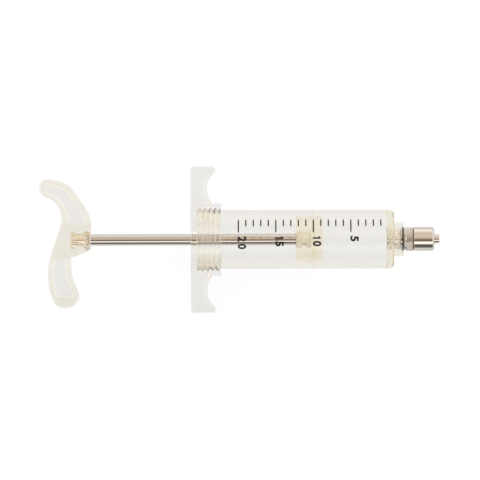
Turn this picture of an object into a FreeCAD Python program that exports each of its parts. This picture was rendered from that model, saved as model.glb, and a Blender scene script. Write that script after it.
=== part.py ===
import FreeCAD, Part
import math
import os

from FreeCAD import Vector

# A reusable 20 ml syringe with a metal luer lock, lying along X as it comes to rest: on the
# round skirt of its finger grip and the tip of one wing. The origin is on its axis, at the
# front face of the lock collar. +X points out of the luer tip and +Z up, and the functions
# below build each piece level, with the wings along Y. Every size is in millimetres.

# Barrel
BORE_R = 10.0
BARREL_WALL = 2.5
CHAMBER_LENGTH = 80.95
END_WALL = 2.9
FRONT_EDGE_ROUND = 1.9
BORE_END_ROUND = 0.9
BOSS_R = 7.35
BOSS_LENGTH = 4.1
BOSS_EDGE_ROUND = 0.5
BARREL_THREAD_PITCH = 2.2
BARREL_THREAD_RELIEF = 0.2
BARREL_THREAD_HEIGHT = 1.2
BARREL_THREAD_ROOT = 1.4
BARREL_THREAD_CREST = 0.6
BARREL_THREAD_TURNS = 4.0

# Graduation: one line for each millilitre, a longer one at each fifth
SCALE_ML = 20
LONG_EVERY = 5
FIRST_LINE_FROM_END = 2.85
LINE_WIDTH = 0.4
INK_THICKNESS = 0.03
LINE_START_DEG = 42.0
SHORT_LINE_DEG = 15.5
LONG_LINE_DEG = 28.0

# Luer fitting: collar, knurled nut, neck, threaded shank and the 6 percent male cone
COLLAR_R = 5.1
COLLAR_LENGTH = 8.8
COLLAR_BORE_R = 4.05
COLLAR_SOCKET = 6.0
COLLAR_FRONT_ROUND = 0.6
COLLAR_BACK_CHAMFER = 0.25
LOCK_THREAD_LEAD = 5.0
LOCK_THREAD_STARTS = 2
LOCK_THREAD_HEIGHT = 0.5
LOCK_THREAD_ROOT = 1.2
LOCK_THREAD_CREST = 0.5
LOCK_THREAD_LENGTH = 4.2
LOCK_THREAD_SET_BACK = 0.5
NUT_LENGTH = 2.85
NUT_CHAMFER = 0.25
NECK_R = 4.85
NECK_LENGTH = 1.1
TIP_R = 1.975
TIP_PROTRUSION = 2.35
TIP_ROUND = 0.35
LUER_TAPER = 0.06
FLUID_BORE_R = 1.1
SHANK_R = 3.0
SHANK_END_R = 2.35
SHANK_END_LENGTH = 0.75

# Rubber washer under the fitting, let into the boss
WASHER_R = 5.0
WASHER_THICKNESS = 0.85
WASHER_RECESS = 0.65

# Knurled metal inserts: crest and waist radii, and the lengths of front band, waist, rear band
NOSE_INSERT_R = 4.9
NOSE_INSERT_WAIST_R = 4.1
NOSE_INSERT_BANDS = (1.7, 1.3, 2.3)
NOSE_INSERT_FROM_WASHER = 0.4
PISTON_INSERT_R = 3.6
PISTON_INSERT_BANDS = (1.7, 1.9, 2.55)
HANDLE_INSERT_R = 3.6
HANDLE_INSERT_BANDS = (1.7, 3.85, 1.7)
HANDLE_INSERT_DEPTH = 1.3
ROD_INSERT_WAIST_R = 2.7
KNURL_DEPTH = 0.22
KNURL_PITCH = 0.85

# Finger grip: an end plate, a skirt that screws over the barrel and two wings
SKIRT_R = 15.4
SKIRT_LENGTH = 10.35
GRIP_PLATE = 2.55
GRIP_EDGE_CHAMFER = 0.4
WING_SPAN = 62.2
WING_THICKNESS = 13.7
WING_ROOT_REACH = 9.1
WING_VALLEY_REACH = 6.9
WING_TIP_REACH = 10.5
WING_TIP_LAND = 2.2
WING_VALLEY_FROM_TIP = 9.3
WING_CORNER_ROUND = 1.2
WING_FRONT_ROUND = 2.2

# Piston with its seal ring, and the disc that closes its core
PISTON_R = 9.8
PISTON_LENGTH = 11.25
PISTON_EDGE_CHAMFER = 0.3
REST_STROKE = 27.5
SEAL_FROM_FRONT = 3.9
SEAL_SECTION_R = 0.75
CORE_R = 3.4
PLUG_R = 3.7
PLUG_THICKNESS = 1.1

# Plunger rod
ROD_R = 2.4
ROD_END_R = 2.0
ROD_END_SPARE = 0.6
ROD_HOLE_CHAMFER = 0.35
HANDLE_STANDOFF = 15.1

# Handle: an S-shaped thumb rest. Each corner of its outline is x and y from the middle of the
# hub's front face, then the radius that rounds it, in order from the hub's lower front corner.
HANDLE_THICKNESS = 13.7
HANDLE_CORNERS = [
    (0.0, -4.1, 1.2),
    (0.0, 10.4, 14.8),
    (-9.9, 24.5, 10.4),
    (-20.9, 26.3, 3.1),
    (-22.6, 19.5, 4.1),
    (-9.8, 15.0, 9.7),
    (-18.6, -11.6, 25.5),
    (-17.6, -21.4, 11.2),
    (-14.9, -28.6, 4.5),
    (-4.4, -29.0, 5.0),
    (-5.3, -22.2, 4.8),
    (-8.0, -16.2, 14.7),
    (-8.8, -7.8, 1.2),
]
HANDLE_EDGE_ROUND = 1.1
HANDLE_RIM = 2.5
HANDLE_WEB = 4.2
POCKET_ABOVE_HUB = 5.9
POCKET_BELOW_HUB = -7.6
POCKET_FOOT_Y = -24.2

# Clearances
TURN_GAP = 0.05
SLIDE_GAP = 0.03
ROD_GAP = 0.1
SEAT_OVERLAP = 0.1

# Stations along X, worked back from the collar's front face
collar_back = -COLLAR_LENGTH
nut_back = collar_back - NUT_LENGTH
shoulder = nut_back - NECK_LENGTH
washer_back = shoulder - WASHER_THICKNESS
boss_face = washer_back + WASHER_RECESS
barrel_front = boss_face - BOSS_LENGTH
chamber_front = barrel_front - END_WALL
barrel_back = chamber_front - CHAMBER_LENGTH
nose_insert_front = washer_back - NOSE_INSERT_FROM_WASHER
plate_front = barrel_back - TURN_GAP
grip_back = plate_front - GRIP_PLATE
skirt_front = plate_front + SKIRT_LENGTH
piston_front = chamber_front - REST_STROKE
piston_back = piston_front - PISTON_LENGTH
seal_x = piston_front - SEAL_FROM_FRONT
handle_face = grip_back - HANDLE_STANDOFF - REST_STROKE
handle_insert_front = handle_face - HANDLE_INSERT_DEPTH
barrel_r = BORE_R + BARREL_WALL
thread_front = barrel_back + SKIRT_LENGTH
thread_root_r = barrel_r - BARREL_THREAD_RELIEF
thread_crest_r = thread_root_r + BARREL_THREAD_HEIGHT
skirt_bore_r = thread_crest_r + TURN_GAP
rod_hole_r = ROD_R + ROD_GAP
ml_pitch = 1000.0 / (math.pi * BORE_R**2)

# How far the syringe rolls on its skirt before the lower edge of a wing tip meets the table
wing_corner_reach = math.hypot(WING_SPAN / 2, WING_THICKNESS / 2)
wing_corner_angle = math.atan2(WING_THICKNESS, WING_SPAN)
lie_deg = math.degrees(math.asin(SKIRT_R / wing_corner_reach) - wing_corner_angle)

AXIS = Vector(1, 0, 0)
ORIGIN = Vector(0, 0, 0)


def cylinder(x_low, x_high, radius):
    return Part.makeCylinder(radius, x_high - x_low, Vector(x_low, 0, 0), AXIS)


def cone(x_low, x_high, radius_low, radius_high):
    return Part.makeCone(radius_low, radius_high, x_high - x_low, Vector(x_low, 0, 0), AXIS)


def revolved(profile):
    """Turn a closed outline of (x, radius) points about the axis."""
    points = [Vector(x, 0, radius) for x, radius in profile]
    face = Part.Face(Part.makePolygon(points + points[:1]))
    return face.revolve(ORIGIN, AXIS, 360)


def rings_at(solid, x, radius):
    """The circular edges at one station that have the given radius."""
    found = []
    for edge in solid.Edges:
        curve = edge.Curve
        if not isinstance(curve, Part.Circle):
            continue
        if abs(curve.Center.x - x) < 1e-4 and abs(curve.Radius - radius) < 1e-4:
            found.append(edge)
    return found


def upright_edges(solid, y):
    """The edges that run along Z at one distance from the axis."""
    found = []
    for edge in solid.Edges:
        upright = abs(edge.tangentAt(edge.FirstParameter).z) > 0.999
        if upright and abs(edge.CenterOfMass.y - y) < 1e-4:
            found.append(edge)
    return found


def edges_on_faces(solid, thickness):
    """The edges round the upper and lower faces of a flat moulding."""
    return [e for e in solid.Edges if abs(abs(e.CenterOfMass.z) - thickness / 2) < 1e-4]


def thread_ridge(x_start, length, pitch, turn_deg, root_r, crest_r, root_width, crest_width):
    """A right-hand helical ridge that starts at x_start, turned about the axis."""
    helix = Part.makeHelix(pitch, length, root_r)
    corners = [
        Vector(root_r, 0, -root_width / 2),
        Vector(crest_r, 0, -crest_width / 2),
        Vector(crest_r, 0, crest_width / 2),
        Vector(root_r, 0, root_width / 2),
    ]
    section = Part.makePolygon(corners + corners[:1])
    ridge = helix.makePipeShell([section], True, True)
    ridge.rotate(ORIGIN, Vector(0, 0, 1), turn_deg)
    ridge.rotate(ORIGIN, Vector(0, 1, 0), 90)
    ridge.translate(Vector(x_start, 0, 0))
    return ridge


def insert_stations(x_front, bands):
    front_band, waist, rear_band = bands
    waist_front = x_front - front_band
    waist_back = waist_front - waist
    return waist_front, waist_back, waist_back - rear_band


def insert_envelope(x_front, bands, crest_r, waist_r):
    """The space a knurled insert takes up in the plastic moulded round it."""
    waist_front, waist_back, x_back = insert_stations(x_front, bands)
    body = cylinder(x_back, x_front, waist_r)
    body = body.fuse(cylinder(x_back, waist_back, crest_r))
    return body.fuse(cylinder(waist_front, x_front, crest_r)).removeSplitter()


def knurled_insert(x_front, bands, crest_r, waist_r, bore_r):
    """Two bands of fine axial V-grooves with a waist between them, and a bore through."""
    x_back = insert_stations(x_front, bands)[2]
    body = insert_envelope(x_front, bands, crest_r, waist_r)
    count = round(2 * math.pi * crest_r / KNURL_PITCH)
    outside = crest_r + KNURL_DEPTH
    groove_outline = [
        Vector(x_back - KNURL_DEPTH, 0, crest_r - KNURL_DEPTH),
        Vector(x_back - KNURL_DEPTH, 2 * KNURL_DEPTH, outside),
        Vector(x_back - KNURL_DEPTH, -2 * KNURL_DEPTH, outside),
    ]
    groove_face = Part.Face(Part.makePolygon(groove_outline + groove_outline[:1]))
    groove = groove_face.extrude(Vector(x_front - x_back + 2 * KNURL_DEPTH, 0, 0))
    grooves = []
    for step in range(count):
        copy = groove.copy()
        copy.rotate(ORIGIN, AXIS, 360.0 * step / count)
        grooves.append(copy)
    return body.cut(Part.makeCompound(grooves)).cut(cylinder(x_back, x_front, bore_r))


def make_barrel():
    body = cylinder(thread_front, barrel_front, barrel_r)
    body = body.makeFillet(FRONT_EDGE_ROUND, rings_at(body, barrel_front, barrel_r))
    body = body.fuse(cylinder(barrel_front - SEAT_OVERLAP, boss_face, BOSS_R))
    body = body.makeFillet(BOSS_EDGE_ROUND, rings_at(body, boss_face, BOSS_R))
    body = body.fuse(cylinder(barrel_back, thread_front, thread_root_r))
    thread = thread_ridge(
        barrel_back + BARREL_THREAD_ROOT / 2,
        BARREL_THREAD_TURNS * BARREL_THREAD_PITCH,
        BARREL_THREAD_PITCH,
        0,
        thread_root_r - SEAT_OVERLAP,
        thread_crest_r,
        BARREL_THREAD_ROOT,
        BARREL_THREAD_CREST,
    )
    body = body.fuse(thread)
    bore = cylinder(barrel_back, chamber_front, BORE_R)
    bore = bore.makeFillet(BORE_END_ROUND, rings_at(bore, chamber_front, BORE_R))
    insert_space = insert_envelope(
        nose_insert_front, NOSE_INSERT_BANDS, NOSE_INSERT_R, NOSE_INSERT_WAIST_R
    )
    end_hole = cylinder(chamber_front, nose_insert_front, SHANK_END_R + TURN_GAP)
    shank_hole = cylinder(nose_insert_front, washer_back, SHANK_R + TURN_GAP)
    washer_recess = cylinder(washer_back, boss_face, WASHER_R + TURN_GAP)
    for space in (bore, insert_space, end_hole, shank_hole, washer_recess):
        body = body.cut(space)
    return body


def make_scale_print():
    """Ink lines on the barrel, each a short arc across the side that faces up."""
    lines = []
    for ml in range(1, SCALE_ML + 1):
        line_x = chamber_front - FIRST_LINE_FROM_END - (ml - 1) * ml_pitch
        sweep = LONG_LINE_DEG if ml % LONG_EVERY == 0 else SHORT_LINE_DEG
        corners = [
            Vector(line_x - LINE_WIDTH / 2, 0, barrel_r),
            Vector(line_x + LINE_WIDTH / 2, 0, barrel_r),
            Vector(line_x + LINE_WIDTH / 2, 0, barrel_r + INK_THICKNESS),
            Vector(line_x - LINE_WIDTH / 2, 0, barrel_r + INK_THICKNESS),
        ]
        face = Part.Face(Part.makePolygon(corners + corners[:1]))
        line = face.revolve(ORIGIN, AXIS, sweep)
        line.rotate(ORIGIN, AXIS, -LINE_START_DEG)
        lines.append(line)
    return Part.makeCompound(lines)


def make_nose_insert():
    return knurled_insert(
        nose_insert_front,
        NOSE_INSERT_BANDS,
        NOSE_INSERT_R,
        NOSE_INSERT_WAIST_R,
        SHANK_R + TURN_GAP,
    )


def make_nose_washer():
    ring = cylinder(washer_back, shoulder, WASHER_R)
    return ring.cut(cylinder(washer_back, shoulder, SHANK_R + TURN_GAP))


def make_luer_hub():
    """The turned fitting: shank, neck, nut, spigot for the collar and the male cone."""
    tip_x = TIP_PROTRUSION
    cone_root = -COLLAR_SOCKET
    cone_root_r = TIP_R + (tip_x - cone_root) * LUER_TAPER / 2
    shank_back = chamber_front
    profile = [
        (shank_back, FLUID_BORE_R),
        (shank_back, SHANK_END_R),
        (shank_back + SHANK_END_LENGTH, SHANK_END_R),
        (shank_back + SHANK_END_LENGTH, SHANK_R),
        (shoulder, SHANK_R),
        (shoulder, NECK_R),
        (nut_back, NECK_R),
        (nut_back + NUT_CHAMFER, COLLAR_R),
        (collar_back - NUT_CHAMFER, COLLAR_R),
        (collar_back, COLLAR_R - NUT_CHAMFER),
        (collar_back, COLLAR_BORE_R),
        (cone_root, COLLAR_BORE_R),
        (cone_root, cone_root_r),
        (tip_x, TIP_R),
        (tip_x, FLUID_BORE_R),
    ]
    hub = revolved(profile)
    return hub.makeFillet(TIP_ROUND, rings_at(hub, tip_x, TIP_R))


def make_lock_collar():
    """A sleeve pressed on the hub, with the two-start luer lock thread inside its socket."""
    sleeve = cylinder(collar_back, 0, COLLAR_R)
    sleeve = sleeve.makeFillet(COLLAR_FRONT_ROUND, rings_at(sleeve, 0, COLLAR_R))
    sleeve = sleeve.makeChamfer(COLLAR_BACK_CHAMFER, rings_at(sleeve, collar_back, COLLAR_R))
    sleeve = sleeve.cut(cylinder(collar_back, 0, COLLAR_BORE_R))
    for start in range(LOCK_THREAD_STARTS):
        ridge = thread_ridge(
            -LOCK_THREAD_SET_BACK - LOCK_THREAD_ROOT / 2 - LOCK_THREAD_LENGTH,
            LOCK_THREAD_LENGTH,
            LOCK_THREAD_LEAD,
            360.0 * start / LOCK_THREAD_STARTS,
            COLLAR_BORE_R + SEAT_OVERLAP,
            COLLAR_BORE_R - LOCK_THREAD_HEIGHT,
            LOCK_THREAD_ROOT,
            LOCK_THREAD_CREST,
        )
        sleeve = sleeve.fuse(ridge)
    return sleeve


def make_wing():
    """The wing on the +Y side: its front edge is one concave arc for a finger."""
    tip_y = WING_SPAN / 2
    root_y = skirt_bore_r
    rear_bottom = Vector(grip_back, root_y, 0)
    rear_top = Vector(grip_back, tip_y, 0)
    front_top = Vector(grip_back + WING_TIP_REACH, tip_y, 0)
    tip = Vector(grip_back + WING_TIP_REACH, tip_y - WING_TIP_LAND, 0)
    valley = Vector(grip_back + WING_VALLEY_REACH, tip_y - WING_VALLEY_FROM_TIP, 0)
    root = Vector(grip_back + WING_ROOT_REACH, SKIRT_R, 0)
    root_bottom = Vector(grip_back + WING_ROOT_REACH, root_y, 0)
    edges = [
        Part.LineSegment(rear_bottom, rear_top).toShape(),
        Part.LineSegment(rear_top, front_top).toShape(),
        Part.LineSegment(front_top, tip).toShape(),
        Part.Arc(tip, valley, root).toShape(),
        Part.LineSegment(root, root_bottom).toShape(),
        Part.LineSegment(root_bottom, rear_bottom).toShape(),
    ]
    face = Part.Face(Part.Wire(edges))
    face.translate(Vector(0, 0, -WING_THICKNESS / 2))
    wing = face.extrude(Vector(0, 0, WING_THICKNESS))
    wing = wing.makeFillet(WING_CORNER_ROUND, upright_edges(wing, tip_y))
    front_edges = []
    for edge in edges_on_faces(wing, WING_THICKNESS):
        if isinstance(edge.Curve, Part.Circle) and edge.Curve.Radius > WING_TIP_REACH / 2:
            front_edges.append(edge)
    return wing.makeFillet(WING_FRONT_ROUND, front_edges)


def make_finger_grip():
    body = cylinder(grip_back, skirt_front, SKIRT_R)
    for x in (grip_back, skirt_front):
        body = body.makeChamfer(GRIP_EDGE_CHAMFER, rings_at(body, x, SKIRT_R))
    wing = make_wing()
    other = wing.copy()
    other.rotate(ORIGIN, AXIS, 180)
    body = body.fuse(wing).fuse(other)
    body = body.cut(cylinder(plate_front, skirt_front, skirt_bore_r))
    body = body.cut(cylinder(grip_back, plate_front, rod_hole_r))
    countersink = cone(
        grip_back, grip_back + ROD_HOLE_CHAMFER, rod_hole_r + ROD_HOLE_CHAMFER, rod_hole_r
    )
    return body.cut(countersink)


def make_piston():
    body = cylinder(piston_back, piston_front, PISTON_R)
    for x in (piston_back, piston_front):
        body = body.makeChamfer(PISTON_EDGE_CHAMFER, rings_at(body, x, PISTON_R))
    groove_half = SEAL_SECTION_R + TURN_GAP
    groove_root_r = BORE_R - 2 * SLIDE_GAP - 2 * SEAL_SECTION_R
    groove = cylinder(seal_x - groove_half, seal_x + groove_half, BORE_R)
    groove = groove.cut(cylinder(seal_x - groove_half, seal_x + groove_half, groove_root_r))
    insert_space = insert_envelope(
        piston_back + sum(PISTON_INSERT_BANDS),
        PISTON_INSERT_BANDS,
        PISTON_INSERT_R,
        ROD_INSERT_WAIST_R,
    )
    core = cylinder(piston_back + sum(PISTON_INSERT_BANDS), piston_front, CORE_R)
    plug_seat = cylinder(piston_front - PLUG_THICKNESS, piston_front, PLUG_R)
    for space in (groove, insert_space, core, plug_seat):
        body = body.cut(space)
    return body


def make_piston_insert():
    return knurled_insert(
        piston_back + sum(PISTON_INSERT_BANDS),
        PISTON_INSERT_BANDS,
        PISTON_INSERT_R,
        ROD_INSERT_WAIST_R,
        ROD_END_R,
    )


def make_piston_plug():
    return cylinder(piston_front - PLUG_THICKNESS, piston_front, PLUG_R)


def make_piston_seal():
    centre_r = BORE_R - SLIDE_GAP - SEAL_SECTION_R
    return Part.makeTorus(centre_r, SEAL_SECTION_R, Vector(seal_x, 0, 0), AXIS)


def make_plunger_rod():
    """A plain rod with a reduced, threaded end screwed into each insert."""
    front_end = piston_back + sum(PISTON_INSERT_BANDS) - ROD_END_SPARE
    rear_end = handle_insert_front - sum(HANDLE_INSERT_BANDS) + ROD_END_SPARE
    rod = cylinder(handle_insert_front, piston_back, ROD_R)
    return rod.fuse(cylinder(rear_end, front_end, ROD_END_R)).removeSplitter()


def rounded_outline(corners):
    """A closed wire of straight runs joined by tangent arcs, one for each (x, y, radius)."""
    points = [Vector(x, y, 0) for x, y, radius in corners]
    count = len(points)
    arcs = []
    for index, (x, y, radius) in enumerate(corners):
        corner = points[index]
        before = (points[index - 1] - corner).normalize()
        after = (points[(index + 1) % count] - corner).normalize()
        half_angle = before.getAngle(after) / 2
        reach = radius / math.tan(half_angle)
        to_middle = (before + after).normalize()
        middle = corner + to_middle * (radius / math.sin(half_angle) - radius)
        arcs.append((corner + before * reach, middle, corner + after * reach))
    edges = []
    for index, (start, middle, end) in enumerate(arcs):
        edges.append(Part.Arc(start, middle, end).toShape())
        edges.append(Part.LineSegment(end, arcs[(index + 1) % count][0]).toShape())
    return Part.Wire(edges)


def handle_pocket(outline, y_low, y_high):
    """A recess inside the rim of one arm, open at one face of the handle."""
    depth = (HANDLE_THICKNESS - HANDLE_WEB) / 2
    inner = Part.Face(outline.makeOffset2D(-HANDLE_RIM))
    box = outline.BoundBox
    window = Part.makePlane(
        box.XLength, y_high - y_low, Vector(box.XMin, y_low, 0), Vector(0, 0, 1)
    )
    area = max(inner.common(window).Faces, key=lambda face: face.Area)
    area.translate(Vector(0, 0, HANDLE_THICKNESS / 2 - depth))
    return area.extrude(Vector(0, 0, depth))


def make_handle():
    outline = rounded_outline([(handle_face + x, y, radius) for x, y, radius in HANDLE_CORNERS])
    face = Part.Face(outline)
    face.translate(Vector(0, 0, -HANDLE_THICKNESS / 2))
    body = face.extrude(Vector(0, 0, HANDLE_THICKNESS))
    body = body.makeFillet(HANDLE_EDGE_ROUND, edges_on_faces(body, HANDLE_THICKNESS))
    top_y = outline.BoundBox.YMax
    for y_low, y_high in ((POCKET_ABOVE_HUB, top_y), (POCKET_FOOT_Y, POCKET_BELOW_HUB)):
        pocket = handle_pocket(outline, y_low, y_high)
        body = body.cut(pocket)
        body = body.cut(pocket.mirror(ORIGIN, Vector(0, 0, 1)))
    insert_space = insert_envelope(
        handle_insert_front, HANDLE_INSERT_BANDS, HANDLE_INSERT_R, ROD_INSERT_WAIST_R
    )
    rod_hole = cylinder(handle_insert_front, handle_face, ROD_R)
    return body.cut(insert_space).cut(rod_hole)


def make_handle_insert():
    return knurled_insert(
        handle_insert_front,
        HANDLE_INSERT_BANDS,
        HANDLE_INSERT_R,
        ROD_INSERT_WAIST_R,
        ROD_END_R,
    )


NODES = {
    "barrel": make_barrel,
    "scale_print": make_scale_print,
    "nose_insert": make_nose_insert,
    "nose_washer": make_nose_washer,
    "luer_hub": make_luer_hub,
    "lock_collar": make_lock_collar,
    "finger_grip": make_finger_grip,
    "piston": make_piston,
    "piston_insert": make_piston_insert,
    "piston_plug": make_piston_plug,
    "piston_seal": make_piston_seal,
    "plunger_rod": make_plunger_rod,
    "handle": make_handle,
    "handle_insert": make_handle_insert,
}

os.makedirs("parts", exist_ok=True)
for name, make in NODES.items():
    shape = make()
    shape.rotate(ORIGIN, AXIS, lie_deg)
    solids = len(shape.Solids)
    print(f"{name}: {solids} solid(s), {shape.Volume:.1f} mm3, valid {shape.isValid()}")
    shape.exportStep(f"parts/{name}.step")
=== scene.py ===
import math

import bmesh
import bpy
from mathutils import Matrix, Vector
from mathutils.geometry import tessellate_polygon


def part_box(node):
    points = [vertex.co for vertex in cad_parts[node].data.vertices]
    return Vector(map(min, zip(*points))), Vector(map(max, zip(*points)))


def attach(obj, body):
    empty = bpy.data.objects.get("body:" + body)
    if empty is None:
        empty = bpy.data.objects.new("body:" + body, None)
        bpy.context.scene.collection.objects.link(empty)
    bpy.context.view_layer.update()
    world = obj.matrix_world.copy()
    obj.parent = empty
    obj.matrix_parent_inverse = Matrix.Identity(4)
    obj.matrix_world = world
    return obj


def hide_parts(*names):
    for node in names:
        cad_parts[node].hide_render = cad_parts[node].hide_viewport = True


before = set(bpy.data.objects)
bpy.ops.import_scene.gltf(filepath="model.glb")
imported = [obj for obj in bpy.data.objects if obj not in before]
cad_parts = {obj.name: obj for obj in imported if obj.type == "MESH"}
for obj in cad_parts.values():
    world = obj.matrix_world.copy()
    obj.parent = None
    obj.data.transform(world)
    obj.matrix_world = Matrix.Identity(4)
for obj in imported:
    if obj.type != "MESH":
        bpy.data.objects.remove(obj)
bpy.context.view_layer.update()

# Lengths below are in millimetres, and MM turns them into the frame's metres.
MM = 0.001
TURN = 2 * math.pi
# Stations closer than TOUCH count as one, and carving reaches points within NEAR of its surface
TOUCH = 1e-4
NEAR = 0.1
SHARP_DEG = 35
WHITE = (1.0, 1.0, 1.0)

# The photograph: 480 pixels square, 0.4259 mm to the pixel, looking straight down
PHOTO_PX = 480
MM_PER_PX = 0.4259
ORIGIN_PX = (433.9, 238.85)
PHOTO_ROLL_DEG = 0.2
LENS = 500.0
SENSOR = 36.0
CLIP_END = 20.0


def node_span(node):
    """A turned node's rear and front stations and its outer radius."""
    low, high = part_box(node)
    return low.x / MM, high.x / MM, high.z / MM


barrel_back, boss_face, thread_crest_r = node_span("barrel")
piston_back, piston_front, piston_r = node_span("piston")
grip_back, skirt_front, skirt_r = node_span("finger_grip")
collar_back, collar_front, collar_r = node_span("lock_collar")
shank_back, tip_x, nut_r = node_span("luer_hub")
washer_back, washer_front, washer_r = node_span("nose_washer")
rod_rear_end, rod_front_end, rod_r = node_span("plunger_rod")
plug_back, plug_front, plug_r = node_span("piston_plug")
seal_back, seal_front, _ = node_span("piston_seal")
handle_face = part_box("handle")[1].x / MM

# The syringe lies rolled over onto one wing tip. Pieces are made level and then turned by lie.
WING_SPAN = 62.2
WING_THICKNESS = 13.7
HANDLE_THICKNESS = 13.7
wing_tip_y = WING_SPAN / 2
wing_corner_angle = math.atan2(WING_THICKNESS, WING_SPAN)
lie = math.asin(skirt_r / math.hypot(wing_tip_y, WING_THICKNESS / 2)) - wing_corner_angle
lie_down = Matrix.Rotation(lie, 4, "X")


def new_mesh(name, verts, faces, sharp_deg=SHARP_DEG):
    mesh = bpy.data.meshes.new(name)
    mesh.from_pydata([Vector(v) * MM for v in verts], [], faces)
    work = bmesh.new()
    work.from_mesh(mesh)
    bmesh.ops.remove_doubles(work, verts=work.verts, dist=TOUCH * MM)
    bmesh.ops.recalc_face_normals(work, faces=work.faces)
    work.to_mesh(mesh)
    work.free()
    finish_shading(mesh, sharp_deg)
    piece = bpy.data.objects.new(name, mesh)
    bpy.context.scene.collection.objects.link(piece)
    return piece


def finish_shading(mesh, sharp_deg=SHARP_DEG):
    mesh.polygons.foreach_set("use_smooth", [True] * len(mesh.polygons))
    mesh.set_sharp_from_angle(angle=math.radians(sharp_deg))


def swept(centre, start, sweep, steps):
    """Points on an arc round a centre. start is its first point, measured from there."""
    points = []
    for step in range(steps + 1):
        turned_by = sweep * step / steps
        c, s = math.cos(turned_by), math.sin(turned_by)
        points.append((centre.x + start.x * c - start.y * s, centre.y + start.x * s + start.y * c))
    return points


def corner_arc(outline, index, radius):
    """Centre, start and sweep of the arc that rounds one corner of an outline."""
    corner = Vector(outline[index][:2])
    before = (Vector(outline[index - 1][:2]) - corner).normalized()
    after = (Vector(outline[(index + 1) % len(outline)][:2]) - corner).normalized()
    half = before.angle(after) / 2
    reach = radius / math.tan(half)
    centre = corner + (before + after).normalized() * (radius / math.sin(half))
    start = corner + before * reach - centre
    sweep = (corner + after * reach - centre).angle_signed(start)
    return centre, start, sweep


def eased(outline, steps=4, closed=True):
    """Round each corner of an outline of (x, r, radius) points. A radius of 0 keeps it sharp."""
    points = []
    for index, (x, r, radius) in enumerate(outline):
        end = not closed and index in (0, len(outline) - 1)
        if radius <= 0 or end:
            points.append((x, r))
        else:
            points += swept(*corner_arc(outline, index, radius), steps)
    return points


def densified(points, x_low, x_high, step, r_low, closed=True):
    """Split the runs that lie between two stations and outside one radius."""
    made = []
    count = len(points)
    for index, (x, r) in enumerate(points):
        made.append((x, r))
        if not closed and index == count - 1:
            break
        next_x, next_r = points[(index + 1) % count]
        inside = min(x, next_x) >= x_low - TOUCH and max(x, next_x) <= x_high + TOUCH
        if not inside or min(r, next_r) < r_low or abs(next_x - x) < 2 * step:
            continue
        parts = round(abs(next_x - x) / step)
        for part in range(1, parts):
            k = part / parts
            made.append((x + (next_x - x) * k, r + (next_r - r) * k))
    return made


def turned(name, points, segments=144, relief=None, closed=True, sharp_deg=SHARP_DEG):
    """A solid of revolution. relief(x, r, angle) gives the radius of a point after carving."""
    verts, faces = [], []
    for x, r in points:
        for step in range(segments):
            angle = TURN * step / segments
            radius = relief(x, r, angle) if relief and r > 0 else r
            verts.append((x, radius * math.sin(angle), -radius * math.cos(angle)))
    rows = len(points) if closed else len(points) - 1
    for row in range(rows):
        after = (row + 1) % len(points)
        for step in range(segments):
            beside = (step + 1) % segments
            faces.append(
                (
                    row * segments + step,
                    row * segments + beside,
                    after * segments + beside,
                    after * segments + step,
                )
            )
    return new_mesh(name, verts, faces, sharp_deg)


RIDGE_RUN_OUT = 0.6


def ridge_height(x, angle, start, length, lead, starts, root_width, crest_width):
    """0 to 1 across a helical ridge, fading out at both of its ends."""
    pitch = lead / starts
    along = x - start - lead * angle / TURN
    offset = abs((along + pitch / 2) % pitch - pitch / 2)
    height = (root_width / 2 - offset) / ((root_width - crest_width) / 2)
    height = min(max(height, 0.0), 1.0)
    from_back = x - start + root_width / 2
    from_front = length + root_width - from_back
    fade = min(from_back, from_front) / RIDGE_RUN_OUT
    rounded = (1 - math.cos(math.pi * height)) / 2
    return rounded * min(max(fade, 0.0), 1.0)


def zigzag(value):
    """A triangle wave from 0 to 1 with a period of 1."""
    return 1 - abs(2 * (value % 1.0) - 1)


# Materials


def material(name):
    made = bpy.data.materials.new(name)
    made.use_nodes = True
    tree = made.node_tree
    shader = tree.nodes["Principled BSDF"]
    return made, tree, shader


def noise(tree, scale, detail=3.0, stretch=(1, 1, 1)):
    """Noise in object space, stretched along an axis, as a 0 to 1 value."""
    place = tree.nodes.new("ShaderNodeTexCoord")
    mapping = tree.nodes.new("ShaderNodeMapping")
    mapping.inputs["Scale"].default_value = stretch
    texture = tree.nodes.new("ShaderNodeTexNoise")
    texture.inputs["Scale"].default_value = scale
    texture.inputs["Detail"].default_value = detail
    tree.links.new(place.outputs["Object"], mapping.inputs["Vector"])
    tree.links.new(mapping.outputs["Vector"], texture.inputs["Vector"])
    return texture.outputs["Fac"]


def bump(tree, shader, height, strength, distance):
    node = tree.nodes.new("ShaderNodeBump")
    node.inputs["Strength"].default_value = strength
    node.inputs["Distance"].default_value = distance
    tree.links.new(height, node.inputs["Height"])
    tree.links.new(node.outputs["Normal"], shader.inputs["Normal"])


def ranged(tree, value, start, end, low=0.0, high=1.0):
    """A value mapped from one range onto another, and kept inside it."""
    node = tree.nodes.new("ShaderNodeMapRange")
    node.inputs["From Min"].default_value = start
    node.inputs["From Max"].default_value = end
    node.inputs["To Min"].default_value = low
    node.inputs["To Max"].default_value = high
    tree.links.new(value, node.inputs["Value"])
    return node.outputs["Result"]


def maths(tree, operation, first, second):
    """A maths node on two values, each a socket or a number."""
    node = tree.nodes.new("ShaderNodeMath")
    node.operation = operation
    for socket, value in zip(node.inputs, (first, second)):
        if isinstance(value, (int, float)):
            socket.default_value = value
        else:
            tree.links.new(value, socket)
    return node.outputs["Value"]


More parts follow.
